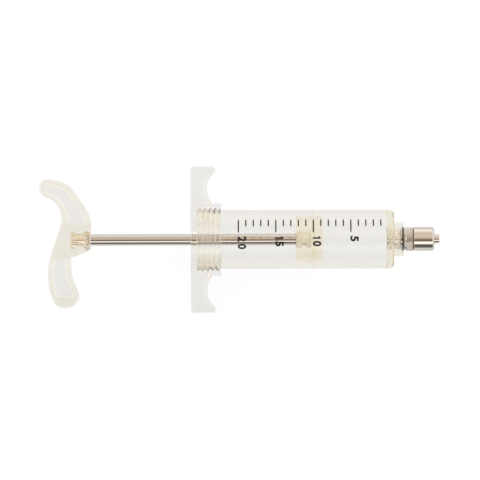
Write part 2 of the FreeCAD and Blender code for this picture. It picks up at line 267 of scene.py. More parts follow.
def mixed(tree, factor, first, second):
    """From the first colour to the second, by a factor. Each is a socket or a plain colour."""
    node = tree.nodes.new("ShaderNodeMix")
    node.data_type = "RGBA"
    tree.links.new(factor, node.inputs["Factor"])
    for socket, colour in ((node.inputs["A"], first), (node.inputs["B"], second)):
        if isinstance(colour, tuple):
            socket.default_value = (*colour, 1)
        else:
            tree.links.new(colour, socket)
    return node.outputs["Result"]


def outwards(tree, inner, outer):
    """A value that goes from 0 to 1 between two radii round the syringe's axis."""
    place = tree.nodes.new("ShaderNodeTexCoord")
    across = tree.nodes.new("ShaderNodeVectorMath")
    across.operation = "MULTIPLY"
    across.inputs[1].default_value = (0, 1, 1)
    radius = tree.nodes.new("ShaderNodeVectorMath")
    radius.operation = "LENGTH"
    tree.links.new(place.outputs["Object"], across.inputs[0])
    tree.links.new(across.outputs["Vector"], radius.inputs[0])
    return ranged(tree, radius.outputs["Value"], inner * MM, outer * MM)


def colour_stops(tree, value, stops):
    """A colour that runs through (position, colour) stops with a 0 to 1 value."""
    ramp = tree.nodes.new("ShaderNodeValToRGB")
    elements = ramp.color_ramp.elements
    while len(elements) < len(stops):
        elements.new(0.5)
    for element, (position, colour) in zip(elements, stops):
        element.position = position
        element.color = (*colour, 1)
    tree.links.new(value, ramp.inputs["Fac"])
    return ramp.outputs["Color"]


def tinted(tree, value, dark, light):
    """A colour that runs from dark to light with a 0 to 1 value."""
    return colour_stops(tree, value, [(0.0, dark), (1.0, light)])


PLASTIC_IOR = 1.46
AMBER = (0.92, 0.80, 0.40)
GLASSY = 0.02


def clear_plastic(name, density, ior=PLASTIC_IOR):
    """Moulded clear plastic: glassy, faintly rippled, and amber where it is thick."""
    made, tree, shader = material(name)
    shader.inputs["Base Color"].default_value = (1, 1, 1, 1)
    shader.inputs["Transmission Weight"].default_value = 1.0
    shader.inputs["IOR"].default_value = ior
    shader.inputs["Roughness"].default_value = GLASSY
    ripples = noise(tree, scale=220.0, detail=2.0, stretch=(0.06, 1, 1))
    bump(tree, shader, ripples, strength=0.04, distance=0.0002)
    absorb = tree.nodes.new("ShaderNodeVolumeAbsorption")
    absorb.inputs["Color"].default_value = (*AMBER, 1)
    absorb.inputs["Density"].default_value = density
    output = tree.nodes["Material Output"]
    tree.links.new(absorb.outputs["Volume"], output.inputs["Volume"])
    return made


# Darker towards the bottom of the knurl's grooves
GROOVE_DARK = (0.10, 0.075, 0.055)
# How the noise is stretched for streaks that run along the axis or round it
ALONG_AXIS = (0.02, 1, 1)
ROUND_AXIS = (1, 0.05, 0.05)
BROADLY_ROUND_AXIS = (1, 0.1, 0.1)


def metal(name, dark, light, rough_low, rough_high, stretch, grooves=None):
    """Plated or turned metal with fine streaks along the way it was worked.

    grooves are the radii between which it goes from dark at the bottom of its grooves to its own
    colour."""
    made, tree, shader = material(name)
    shader.inputs["Metallic"].default_value = 1.0
    streaks = noise(tree, scale=900.0, detail=4.0, stretch=stretch)
    colour = tinted(tree, streaks, dark, light)
    if grooves:
        out_of_groove = outwards(tree, *grooves)
        colour = mixed(tree, out_of_groove, GROOVE_DARK, colour)
    tree.links.new(colour, shader.inputs["Base Color"])
    roughness = ranged(tree, streaks, 0, 1, rough_low, rough_high)
    tree.links.new(roughness, shader.inputs["Roughness"])
    bump(tree, shader, streaks, strength=0.12, distance=0.00002)
    return made


def rubber(name, dark, light, roughness, gloss):
    """Dull and grainy, for the washer and the ink."""
    made, tree, shader = material(name)
    shader.inputs["Specular IOR Level"].default_value = gloss
    grain = noise(tree, scale=1800.0)
    tree.links.new(tinted(tree, grain, dark, light), shader.inputs["Base Color"])
    shader.inputs["Roughness"].default_value = roughness
    bump(tree, shader, grain, strength=0.2, distance=0.00005)
    return made


# Below the real index, so that the thread and end wall don't break into sparkle and the piston's
# insert is hardly enlarged
BARREL_IOR = 1.3
PISTON_IOR = 1.2
SEAL_IOR = 1.05
barrel_plastic = clear_plastic("barrel_plastic", density=20.0, ior=BARREL_IOR)
piston_plastic = clear_plastic("piston_plastic", density=20.0, ior=PISTON_IOR)
handle_plastic = clear_plastic("handle_plastic", density=18.0)
grip_plastic = clear_plastic("grip_plastic", density=5.0)
steel = metal(
    "rod_steel",
    dark=(0.56, 0.54, 0.52),
    light=(0.66, 0.64, 0.61),
    rough_low=0.04,
    rough_high=0.1,
    stretch=ALONG_AXIS,
)
plated = metal(
    "plated_metal",
    dark=(0.66, 0.62, 0.57),
    light=(0.74, 0.70, 0.65),
    rough_low=0.04,
    rough_high=0.09,
    stretch=ROUND_AXIS,
)
brass = metal(
    "insert_brass",
    dark=(0.84, 0.79, 0.69),
    light=(0.96, 0.93, 0.86),
    rough_low=0.12,
    rough_high=0.25,
    stretch=BROADLY_ROUND_AXIS,
)
nickel = metal(
    "insert_nickel",
    dark=(0.88, 0.85, 0.77),
    light=(0.98, 0.95, 0.89),
    rough_low=0.32,
    rough_high=0.45,
    stretch=BROADLY_ROUND_AXIS,
)
black_rubber = rubber(
    "washer_rubber",
    dark=(0.006, 0.005, 0.006),
    light=(0.014, 0.012, 0.014),
    roughness=0.7,
    gloss=0.1,
)
ink = rubber(
    "scale_ink",
    dark=(0.006, 0.006, 0.008),
    light=(0.015, 0.015, 0.017),
    roughness=0.5,
    gloss=0.15,
)


def seal_silicone():
    """Pale clear silicone, wet with grease, so that it barely bends the light."""
    made, tree, shader = material("seal_silicone")
    cloud = noise(tree, scale=600.0)
    colour = tinted(tree, cloud, dark=(0.96, 0.95, 0.85), light=(0.99, 0.98, 0.90))
    tree.links.new(colour, shader.inputs["Base Color"])
    shader.inputs["Transmission Weight"].default_value = 1.0
    shader.inputs["IOR"].default_value = SEAL_IOR
    shader.inputs["Roughness"].default_value = 0.1
    bump(tree, shader, cloud, strength=0.1, distance=0.00005)
    return made


silicone = seal_silicone()

LARGE_FACE_WEIGHT = 90


def dress(piece, body, slot, finish, *nodes):
    """Lay a piece down, finish it and tie it to the model. Large faces keep flat shading."""
    piece.data.transform(lie_down)
    normals = piece.modifiers.new("large_faces_lead", "WEIGHTED_NORMAL")
    normals.weight = LARGE_FACE_WEIGHT
    normals.keep_sharp = True
    piece.data.materials.clear()
    piece.data.materials.append(finish)
    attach(piece, body)
    if nodes:
        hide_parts(*nodes)


# Barrel
BORE_R = 10.0
BARREL_R = 12.5
THREAD_ROOT_R = 12.6
THREAD_PITCH = 2.2
THREAD_TURNS = 4.0
THREAD_ROOT_WIDTH = 2.15
THREAD_CREST_WIDTH = 0.3
END_WALL = 2.9
BOSS_LENGTH = 4.1
BOSS_R = 7.35
RUN_GAP = 0.05
SHANK_R = 3.0
SHANK_END_R = 2.35
FRONT_ROUND = 1.9
BOSS_ROUND = 0.35
REAR_CHAMFER = 0.3
FINE_STEP = 0.09
BARREL_SEGMENTS = 240
barrel_front = boss_face - BOSS_LENGTH
chamber_front = barrel_front - END_WALL
thread_front = skirt_front + RUN_GAP
nose_insert_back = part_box("nose_insert")[0].x / MM
thread_start = barrel_back + THREAD_PITCH / 3
wall_middle_r = (BORE_R + BARREL_R) / 2

# The barrel's plastic where the grip has rubbed on it: a little duller, with painted shade in the
# thread roots under the skirt
RUBBED = 0.03
ROOT_SHADE = (0.89, 0.84, 0.78)
SHADE_FREE_TOP = 0.35
DULL_AND_SHADE_EDGE = 0.2


# Painted shade: the thread's roots are tinted darker where the skirt covers them, and the surface
# there is duller
def soil_thread(made):
    tree = made.node_tree
    shader = tree.nodes["Principled BSDF"]
    place = tree.nodes.new("ShaderNodeTexCoord")
    parts = tree.nodes.new("ShaderNodeSeparateXYZ")
    tree.links.new(place.outputs["Object"], parts.inputs["Vector"])
    x = parts.outputs["X"]
    edge = (skirt_front - DULL_AND_SHADE_EDGE) * MM
    dullness = ranged(tree, x, skirt_front * MM, edge, GLASSY, RUBBED)
    tree.links.new(dullness, shader.inputs["Roughness"])
    outside = outwards(tree, wall_middle_r, wall_middle_r + NEAR)
    high = outwards(tree, THREAD_ROOT_R, thread_crest_r - SHADE_FREE_TOP)
    in_root = maths(tree, "MULTIPLY", outside, maths(tree, "SUBTRACT", 1, high))
    # Painted shade in the thread roots, behind the skirt's front edge
    root_shade = maths(tree, "MULTIPLY", in_root, maths(tree, "LESS_THAN", x, edge))
    tree.links.new(mixed(tree, root_shade, WHITE, ROOT_SHADE), shader.inputs["Base Color"])


def barrel_relief(x, r, angle):
    if r < wall_middle_r or x > thread_front - TOUCH:
        return r
    length = THREAD_PITCH * THREAD_TURNS
    height = ridge_height(
        x, angle, thread_start, length, THREAD_PITCH, 1, THREAD_ROOT_WIDTH, THREAD_CREST_WIDTH
    )
    return r + height * (thread_crest_r - THREAD_ROOT_R)


def make_barrel():
    """The barrel. Its thread keeps smooth shading, all the rest lets large faces lead."""
    outline = [
        (barrel_back, BORE_R, REAR_CHAMFER),
        (barrel_back, THREAD_ROOT_R, REAR_CHAMFER),
        (thread_front - REAR_CHAMFER, THREAD_ROOT_R, 0),
        (thread_front, BARREL_R, 0),
        (barrel_front, BARREL_R, FRONT_ROUND),
        (barrel_front, BOSS_R, BOSS_ROUND),
        (boss_face, BOSS_R, BOSS_ROUND),
        (boss_face, washer_r + RUN_GAP, 0.1),
        (washer_back, washer_r + RUN_GAP, 0),
        (washer_back, SHANK_R + RUN_GAP, 0),
        (nose_insert_back, SHANK_R + RUN_GAP, 0),
        (nose_insert_back, SHANK_END_R + RUN_GAP, 0),
        (chamber_front, SHANK_END_R + RUN_GAP, 0),
        (chamber_front, BORE_R, 0.4),
    ]
    points = eased(outline, 6)
    points = densified(points, barrel_back, thread_front, FINE_STEP, wall_middle_r)
    piece = turned("barrel_moulding", points, BARREL_SEGMENTS, barrel_relief, sharp_deg=60)
    # Painted shade in the thread roots
    soil_thread(barrel_plastic)
    dress(piece, "barrel", "clear_plastic", barrel_plastic, "barrel")
    plain = piece.vertex_groups.new(name="plain_runs")
    off_thread = []
    for vertex in piece.data.vertices:
        x, y, z = vertex.co / MM
        if x > skirt_front or math.hypot(y, z) < wall_middle_r:
            off_thread.append(vertex.index)
    plain.add(off_thread, 1.0, "REPLACE")
    piece.modifiers["large_faces_lead"].vertex_group = plain.name


# Knurled inserts: an envelope of two bands and a waist, with fine axial grooves in the bands
KNURL_DEPTH = 0.24
KNURL_PITCH = 0.85
KNURL_SHARPNESS = 1.5
SEGMENTS_PER_TOOTH = 6
BAND_ENDS = 0.18
BAND_SHOULDERS = 0.12


def make_insert(node, body, finish, front_band, rear_band, waist_r, bore_r, lens=1.0):
    """lens is how much the round plastic over an insert enlarges it in the photograph."""
    x_back, x_front, crest_r = node_span(node)
    crest_r /= lens
    waist_front = x_front - front_band
    waist_back = x_back + rear_band
    teeth = round(TURN * crest_r / KNURL_PITCH)

    def knurl(x, r, angle):
        if r < crest_r - NEAR:
            return r
        return r - KNURL_DEPTH * (1 - zigzag(teeth * angle / TURN)) ** KNURL_SHARPNESS

    outline = [
        (x_back, bore_r, 0),
        (x_back, crest_r, BAND_ENDS),
        (waist_back, crest_r, BAND_SHOULDERS),
        (waist_back, waist_r, 0),
        (waist_front, waist_r, 0),
        (waist_front, crest_r, BAND_SHOULDERS),
        (x_front, crest_r, BAND_ENDS),
        (x_front, bore_r, 0),
    ]
    points = eased(outline, 2)
    piece = turned(node + "_knurled", points, teeth * SEGMENTS_PER_TOOTH, knurl, sharp_deg=50)
    dress(piece, body, "brass", finish, node)


# Luer fitting
NECK_R = 4.85
NECK_LENGTH = 1.1
NUT_LENGTH = 2.85
COLLAR_BORE_R = 4.05
COLLAR_SOCKET = 6.0
TIP_R = 1.975
LUER_TAPER = 0.06
FLUID_BORE_R = 1.1
DIAMOND_DEPTH = 0.34
DIAMOND_REACH = 0.3
DIAMOND_COUNT = 24
DIAMOND_PITCH = 1.25
DIAMOND_STEEPNESS = 1.5
SEGMENTS_PER_DIAMOND = 14
# How far below the nut's crest the grooves stop being darkened
GROOVE_DARK_TOP = 0.22
NUT_BACK_CHAMFER = 0.08
NUT_CHAMFER_LENGTH = 0.3
NUT_CHAMFER_DEPTH = 0.45
SHANK_END_LENGTH = 0.75
LOCK_LEAD = 5.0
LOCK_START = -5.3
LOCK_LENGTH = 4.2
LOCK_HEIGHT = 0.5
LOCK_STARTS = 2
LOCK_ROOT_WIDTH = 1.2
LOCK_CREST_WIDTH = 0.5
LOCK_END = 0.25
LOCK_STEP = 0.12
COLLAR_CHAMFER_LENGTH = 0.3
COLLAR_CHAMFER_DEPTH = 0.4
COLLAR_FRONT_ROUND = 0.9
nut_back = collar_back - NUT_LENGTH
shoulder = nut_back - NECK_LENGTH
knurled = metal(
    "knurled_metal",
    dark=(0.70, 0.66, 0.60),
    light=(0.86, 0.82, 0.75),
    rough_low=0.04,
    rough_high=0.1,
    stretch=ROUND_AXIS,
    grooves=(nut_r - DIAMOND_DEPTH, nut_r - GROOVE_DARK_TOP),
)


def diamond_knurl(x, r, angle):
    """Two crossing sets of helical grooves cut into the nut, and into the neck's front edge."""
    if r < nut_r - DIAMOND_REACH or x > collar_back - TOUCH or x < nut_back:
        return r
    around = DIAMOND_COUNT * angle / TURN
    along = (x - nut_back) / DIAMOND_PITCH
    height = min(zigzag(around + along), zigzag(around - along))
    return r - DIAMOND_DEPTH * (1 - min(height * DIAMOND_STEEPNESS, 1.0))


def make_luer_hub():
    cone_root_r = TIP_R + (tip_x + COLLAR_SOCKET) * LUER_TAPER / 2
    shank_step = shank_back + SHANK_END_LENGTH
    outline = [
        (shank_back, FLUID_BORE_R, 0),
        (shank_back, SHANK_END_R, 0.1),
        (shank_step, SHANK_END_R, 0),
        (shank_step, SHANK_R, 0.1),
        (shoulder, SHANK_R, 0),
        (shoulder, NECK_R, 0.15),
        (nut_back, NECK_R, 0),
        (nut_back + NUT_BACK_CHAMFER, nut_r, 0),
        (collar_back - NUT_CHAMFER_LENGTH, nut_r, 0.08),
        (collar_back, nut_r - NUT_CHAMFER_DEPTH, 0),
        (collar_back, COLLAR_BORE_R, 0),
        (-COLLAR_SOCKET, COLLAR_BORE_R, 0),
        (-COLLAR_SOCKET, cone_root_r, 0.2),
        (tip_x, TIP_R, 0.35),
        (tip_x, FLUID_BORE_R, 0.12),
    ]
    points = densified(eased(outline, 4), nut_back, collar_back, FINE_STEP, nut_r - NEAR)
    segments = DIAMOND_COUNT * SEGMENTS_PER_DIAMOND
    piece = turned("luer_fitting", points, segments, diamond_knurl)
    dress(piece, "nozzle", "plated_brass", plated, "luer_hub")
    piece.data.materials.append(knurled)
    for polygon in piece.data.polygons:
        x, y, z = polygon.center / MM
        on_nut = nut_back + NEAR < x < collar_back - NEAR
        if on_nut and math.hypot(y, z) > nut_r - DIAMOND_DEPTH - NEAR:
            polygon.material_index = 1


def lock_thread(x, r, angle):
    """The two-start thread that stands inward from the collar's bore."""
    if r > COLLAR_BORE_R + NEAR or x < -COLLAR_SOCKET or x > -LOCK_END:
        return r
    widths = (LOCK_ROOT_WIDTH, LOCK_CREST_WIDTH)
    height = ridge_height(x, angle, LOCK_START, LOCK_LENGTH, LOCK_LEAD, LOCK_STARTS, *widths)
    return r - LOCK_HEIGHT * height


def make_lock_collar():
    outline = [
        (collar_back, COLLAR_BORE_R, 0),
        (collar_back, collar_r - COLLAR_CHAMFER_DEPTH, 0),
        (collar_back + COLLAR_CHAMFER_LENGTH, collar_r, 0.1),
        (collar_front, collar_r, COLLAR_FRONT_ROUND),
        (collar_front, COLLAR_BORE_R, 0.25),
    ]
    points = eased(outline, 5)
    points = densified(points, collar_back, collar_front, LOCK_STEP, COLLAR_BORE_R - NEAR)
    piece = turned("lock_collar_sleeve", points, 128, lock_thread, sharp_deg=40)
    dress(piece, "nozzle", "plated_brass", plated, "lock_collar")


def make_washer():
    outline = [
        (washer_back, SHANK_R + RUN_GAP, 0.1),
        (washer_back, washer_r, 0.1),
        (washer_front, washer_r, 0.1),
        (washer_front, SHANK_R + RUN_GAP, 0.1),
    ]
    piece = turned("nose_washer_ring", eased(outline, 4), 96)
    dress(piece, "washer", "black_rubber", black_rubber, "nose_washer")


# Piston group
SEAL_SECTION_R = 0.75
SEAL_SQUEEZE = 1.35
SEAL_BITE = 0.015
SEAL_LIFT = 0.01
SLIDE_GAP = 0.03
CORE_R = 3.4
PLUG_GAP = 0.02
SEAL_SEGMENTS = 32
piston_insert_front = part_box("piston_insert")[1].x / MM
seal_x = (seal_back + seal_front) / 2
groove_root_r = BORE_R - 2 * SLIDE_GAP - 2 * SEAL_SECTION_R


def make_piston():
    groove_half = SEAL_SECTION_R + RUN_GAP
    outline = [
        (piston_back, 0, 0),
        (piston_back, piston_r, 0.3),
        (seal_x - groove_half, piston_r, 0.1),
        (seal_x - groove_half, groove_root_r, 0.1),
        (seal_x + groove_half, groove_root_r, 0.1),
        (seal_x + groove_half, piston_r, 0.1),
        (piston_front, piston_r, 0.3),
        (piston_front, plug_r, 0.05),
        (plug_back, plug_r, 0),
        (plug_back, CORE_R, 0),
        (piston_insert_front, CORE_R, 0),
        (piston_insert_front, 0, 0),
    ]
    piece = turned("piston_moulding", eased(outline, 4, closed=False), 144, closed=False)
    dress(piece, "plunger", "cream_plastic", piston_plastic, "piston")


def make_piston_plug():
    clear_r = plug_r - PLUG_GAP
    outline = [
        (plug_back + PLUG_GAP, 0, 0),
        (plug_back + PLUG_GAP, clear_r, 0.1),
        (plug_front, clear_r, 0.15),
        (plug_front, 0, 0),
    ]
    piece = turned("piston_plug_disc", eased(outline, 3, closed=False), 96, closed=False)
    dress(piece, "plunger", "cream_plastic", piston_plastic, "piston_plug")


def make_seal():
    """The ring, squeezed flat between the bore and the floor of its groove."""
    centre_r = (BORE_R + groove_root_r) / 2
    ring = []
    for step in range(SEAL_SEGMENTS):
        angle = TURN * step / SEAL_SEGMENTS
        x = seal_x + SEAL_SECTION_R * math.cos(angle)
        r = centre_r + SEAL_SECTION_R * SEAL_SQUEEZE * math.sin(angle)
        ring.append((x, min(max(r, groove_root_r + SEAL_LIFT), BORE_R + SEAL_BITE)))
    piece = turned("piston_seal_ring", ring, 144, sharp_deg=80)
    dress(piece, "seal", "silicone", silicone, "piston_seal")


ROD_END_R = 2.0
handle_insert_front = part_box("handle_insert")[1].x / MM


def make_rod():
    outline = [
        (rod_rear_end, 0, 0),
        (rod_rear_end, ROD_END_R, 0.2),
        (handle_insert_front, ROD_END_R, 0),
        (handle_insert_front, rod_r, 0.1),
        (piston_back, rod_r, 0.1),
        (piston_back, ROD_END_R, 0),
        (rod_front_end, ROD_END_R, 0.2),
        (rod_front_end, 0, 0),
    ]
    piece = turned("plunger_rod_bar", eased(outline, 3, closed=False), 72, closed=False)
    dress(piece, "plunger", "steel", steel, "plunger_rod")


# Flat mouldings: a rounded outline, thickness and rounded edges, and recesses in both faces


def rounded_outline(corners, arc_mm=0.35):
    """Points round a closed outline of straight runs and tangent arcs, from (x, y, radius)."""
    points = []
    for index, (x, y, radius) in enumerate(corners):
        if radius <= 0:
            points.append(Vector((x, y)))
            continue
        centre, start, sweep = corner_arc(corners, index, radius)
        steps = max(3, round(abs(sweep) * radius / arc_mm))
        points += [Vector(p) for p in swept(centre, start, sweep, steps)]
    return points


def signed_area(points):
    """Above 0 for an anticlockwise outline."""
    total = 0.0
    for index, p in enumerate(points):
        q = points[(index + 1) % len(points)]
        total += p.x * q.y - q.x * p.y
    return total / 2


def inset(points, distances):
    """Move each point of an anticlockwise outline inward along its normal."""
    made = []
    count = len(points)
    for index, p in enumerate(points):
        along = (points[(index + 1) % count] - points[index - 1]).normalized()
        made.append(p + Vector((-along.y, along.x)) * distances[index])
    return made


def clipped(points, y_low, y_high):
    """The part of an outline between two heights."""
    for limit, sign in ((y_low, 1), (y_high, -1)):
        kept = []
        for index, p in enumerate(points):
            q = points[(index + 1) % len(points)]
            p_in = sign * (p.y - limit) >= 0
            q_in = sign * (q.y - limit) >= 0
            if p_in:
                kept.append(p)
            if p_in != q_in:
                k = (limit - p.y) / (q.y - p.y)
                kept.append(p.lerp(q, k))
        points = kept
    return points


def evenly(points, spacing):
    """Points at equal spacing round a closed outline."""
    count = len(points)
    lengths = [(points[(i + 1) % count] - points[i]).length for i in range(count)]
    total = sum(lengths)
    wanted = round(total / spacing)
    made = []
    index, walked = 0, 0.0
    for step in range(wanted):
        target = total * step / wanted
        while walked + lengths[index] < target:
            walked += lengths[index]
            index += 1
        k = (target - walked) / lengths[index]
        made.append(points[index].lerp(points[(index + 1) % count], k))
    return made


def softened(points, passes):
    """Each point drawn towards its neighbours, which rounds the corners."""
    for _ in range(passes):
        count = len(points)
        points = [
            (points[i - 1] + points[i] * 2 + points[(i + 1) % count]) / 4 for i in range(count)
        ]
    return points


EDGE_STEPS = 6
LIP_STEPS = 3
HEEL_STEPS = 4
RECESS_LIP = 0.25
RECESS_HEEL = 0.8
RECESS_DRAFT = 0.15


def plate(name, outline, rounds, thickness, recesses=(), web=0.0, tall=1.0):
    """A flat moulding with rounded edges, and recesses that leave a web in the middle.

    tall is the height of an edge's round over its width."""
    half = thickness / 2
    count = len(outline)
    verts, faces = [], []
    rings = []
    for side in (-1, 1):
        order = range(EDGE_STEPS + 1)
        for step in reversed(order) if side < 0 else order:
            angle = math.pi / 2 * step / EDGE_STEPS
            moved = inset(outline, [r * (1 - math.cos(angle)) for r in rounds])
            rings.append(len(verts))
            for p, r in zip(moved, rounds):
                verts.append((p.x, p.y, side * (half - tall * r * (1 - math.sin(angle)))))
    for low, high in zip(rings, rings[1:]):
        for i in range(count):
            j = (i + 1) % count
            faces.append((low + i, low + j, high + j, high + i))
    for side, rim in ((-1, rings[0]), (1, rings[-1])):
        loops = [[Vector(verts[rim + i]) for i in range(count)]]
        numbers = list(range(rim, rim + count))
        for recess in recesses:
            first = recess_walls(recess, side, half, web, verts, faces)
            loops.append([Vector(verts[first + i]) for i in range(len(recess))])
            numbers += range(first, first + len(recess))
        faces += [tuple(numbers[i] for i in tri) for tri in tessellate_polygon(loops)]
    return new_mesh(name, verts, faces, sharp_deg=30)


def recess_walls(recess, side, half, web, verts, faces):
    """Lip, wall, heel and floor of one recess. Returns the number of its first rim point."""
    depth = half - web / 2
    levels = []
    for step in range(LIP_STEPS + 1):
        angle = math.pi / 2 * step / LIP_STEPS
        levels.append((RECESS_LIP * (math.sin(angle) - 1), RECESS_LIP * (1 - math.cos(angle))))
    for step in range(HEEL_STEPS + 1):
        angle = math.pi / 2 * step / HEEL_STEPS
        inward = RECESS_DRAFT + RECESS_HEEL * (1 - math.cos(angle))
        levels.append((inward, depth - RECESS_HEEL * (1 - math.sin(angle))))
    count = len(recess)
    first = len(verts)
    for inward, down in levels:
        for p in inset(recess, [inward] * count):
            verts.append((p.x, p.y, side * (half - down)))
    for level in range(len(levels) - 1):
        low, high = first + level * count, first + (level + 1) * count
        for i in range(count):
            j = (i + 1) % count
            faces.append((low + i, low + j, high + j, high + i))
    last = first + (len(levels) - 1) * count
    floor = [Vector(verts[last + i]) for i in range(count)]
    faces += [tuple(last + i for i in tri) for tri in tessellate_polygon([floor])]
    return first


# Handle: corners are x and y from the hub's front face, then the radius
HANDLE_CORNERS = [
    (0.0, -4.1, 1.2),
    (0.0, 10.4, 14.8),
    (-9.9, 24.5, 10.4),
    (-20.9, 26.3, 3.1),
    (-22.6, 19.5, 4.1),
    (-9.8, 15.0, 9.7),
    (-18.6, -11.6, 25.5),
    (-17.6, -21.4, 11.2),
    (-14.9, -28.6, 4.5),
    (-4.4, -29.0, 5.0),
    (-5.3, -22.2, 4.8),
    (-8.0, -16.2, 14.7),
    (-8.8, -7.8, 1.2),
]
HANDLE_ROUND = 1.1
HANDLE_ROUND_TALL = 1.3
HANDLE_RIM = 1.7
HANDLE_WEB = 4.2
UPPER_RECESS_Y = (5.9, 40.0)
LOWER_RECESS_Y = (-24.2, -7.6)
RECESS_STEP = 0.4
RECESS_SOFTENING = 4


def make_handle():
    corners = [(handle_face + x, y, radius) for x, y, radius in HANDLE_CORNERS]
    outline = rounded_outline(corners)
    inner = inset(outline, [HANDLE_RIM] * len(outline))
    recesses = []
    for y_low, y_high in (UPPER_RECESS_Y, LOWER_RECESS_Y):
        recess = evenly(clipped(inner, y_low, y_high), RECESS_STEP)
        recesses.append(softened(recess, RECESS_SOFTENING))
    rounds = [HANDLE_ROUND] * len(outline)
    piece = plate(
        "handle_moulding", outline, rounds, HANDLE_THICKNESS, recesses, HANDLE_WEB, HANDLE_ROUND_TALL
    )
    dress(piece, "plunger", "clear_plastic", handle_plastic, "handle")


# Finger grip
GRIP_PLATE = 2.55
ROD_GAP = 0.1
WING_ROOT_REACH = 9.1
WING_VALLEY_REACH = 6.9
WING_TIP_REACH = 10.5
WING_VALLEY_Y = 21.8
WING_TIP_Y = 28.9
WING_CORNER_ROUND = 1.2
WING_FRONT_ROUND = 2.8
WING_EDGE_ROUND = 0.7
WING_ROUND_BLEND = 3.0
WING_FRONT_STEPS = 36
WING_OVERLAP = 0.6
PLATE_CHAMFER = 0.35


def arc_through(start, middle, end, steps):
    """Points from start to end on the circle that passes through middle."""
    ax, ay, bx, by, cx, cy = *start, *middle, *end
    d = 2 * (ax * (by - cy) + bx * (cy - ay) + cx * (ay - by))
    ux = (ax * ax + ay * ay) * (by - cy) + (bx * bx + by * by) * (cy - ay)
    ux = (ux + (cx * cx + cy * cy) * (ay - by)) / d
    uy = (ax * ax + ay * ay) * (cx - bx) + (bx * bx + by * by) * (ax - cx)
    uy = (uy + (cx * cx + cy * cy) * (bx - ax)) / d
    centre = Vector((ux, uy))
    first = Vector(start) - centre
    sweep = (Vector(end) - centre).angle_signed(first)
    return [Vector(p) for p in swept(centre, first, sweep, steps)]


def make_wing(name, side):
    """One wing, from inside the skirt's wall to its tip. side is 1 for +Y and -1 for -Y."""
    tip_x = grip_back + WING_TIP_REACH
    root_x = grip_back + WING_ROOT_REACH
    root_y = thread_crest_r + WING_OVERLAP
    valley = (grip_back + WING_VALLEY_REACH, WING_VALLEY_Y)
    front = arc_through((root_x, skirt_r), valley, (tip_x, WING_TIP_Y), WING_FRONT_STEPS)
    ends = rounded_outline(
        [
            (tip_x, WING_VALLEY_Y, 0),
            (tip_x, wing_tip_y, WING_CORNER_ROUND),
            (grip_back, wing_tip_y, WING_CORNER_ROUND),
            (grip_back, WING_VALLEY_Y, 0),
        ],
        0.25,
    )
    outline = front + ends[1:-1] + [Vector((grip_back, root_y)), Vector((root_x, root_y))]
    rounds = []
    for index, p in enumerate(outline):
        growth = 0.0
        if index <= WING_FRONT_STEPS:
            growth = min(1.0, max(0.0, (WING_TIP_Y - p.y) / WING_ROUND_BLEND))
        rounds.append(WING_EDGE_ROUND + (WING_FRONT_ROUND - WING_EDGE_ROUND) * growth)
    if signed_area(outline) < 0:
        outline.reverse()
        rounds.reverse()
    piece = plate(name, outline, rounds, WING_THICKNESS)
    if side < 0:
        for vertex in piece.data.vertices:
            vertex.co.y = -vertex.co.y
            vertex.co.z = -vertex.co.z
    return piece


def join_solids(body, others):
    """Unite closed meshes into one, so that clear plastic has no inner walls."""
    for other in others:
        union = body.modifiers.new("union", "BOOLEAN")
        union.operation = "UNION"
        union.solver = "EXACT"
        union.object = other
        bpy.context.view_layer.update()
        evaluated = body.evaluated_get(bpy.context.evaluated_depsgraph_get())
        mesh = bpy.data.meshes.new_from_object(evaluated)
        body.modifiers.clear()
        body.data = mesh
        bpy.data.objects.remove(other)
    finish_shading(body.data, sharp_deg=32)


def make_finger_grip():
    plate_front = grip_back + GRIP_PLATE
    rod_hole_r = rod_r + ROD_GAP
    bore_r = thread_crest_r + RUN_GAP
    outline = [
        (grip_back, rod_hole_r + PLATE_CHAMFER, 0),
        (grip_back, skirt_r, 0.5),
        (skirt_front, skirt_r, 0.35),
        (skirt_front, bore_r, 0.2),
        (plate_front, bore_r, 0.4),
        (plate_front, rod_hole_r, 0.1),
        (grip_back + PLATE_CHAMFER, rod_hole_r, 0),
    ]
    body = turned("finger_grip_moulding", eased(outline, 4), 160)
    wings = [make_wing("wing_upper", 1), make_wing("wing_lower", -1)]
    join_solids(body, wings)
    dress(body, "grip", "clear_plastic", grip_plastic, "finger_grip")


# Scale: the printed lines and plain numbers on the barrel
SCALE_ML = 20
LONG_EVERY = 5
FIRST_LINE_FROM_END = 2.85
LINE_WIDTH = 0.55
LINE_END_WIDTH = 0.7
LINE_STEPS = 12
INK_R = BARREL_R + 0.012
LINE_START_DEG = 42.0
SHORT_LINE_DEG = 15.5
LONG_LINE_DEG = 28.0
DIGIT_HEIGHT = 3.6
DIGIT_WIDTH = 2.3
ONE_WIDTH = 1.15
ONE_HEIGHT = 3.3
DIGIT_GAP = 0.9
DIGIT_TOP_Y = 1.35
DIGIT_STROKE_GROWTH = 0.04
ml_pitch = 1000.0 / (math.pi * BORE_R**2)


def on_barrel(x, y):
    """A point of the flat print, wrapped round the barrel's upper side."""
    angle = y / BARREL_R
    return (x, INK_R * math.sin(angle), INK_R * math.cos(angle))


def line_x(ml):
    return chamber_front - FIRST_LINE_FROM_END - (ml - 1) * ml_pitch


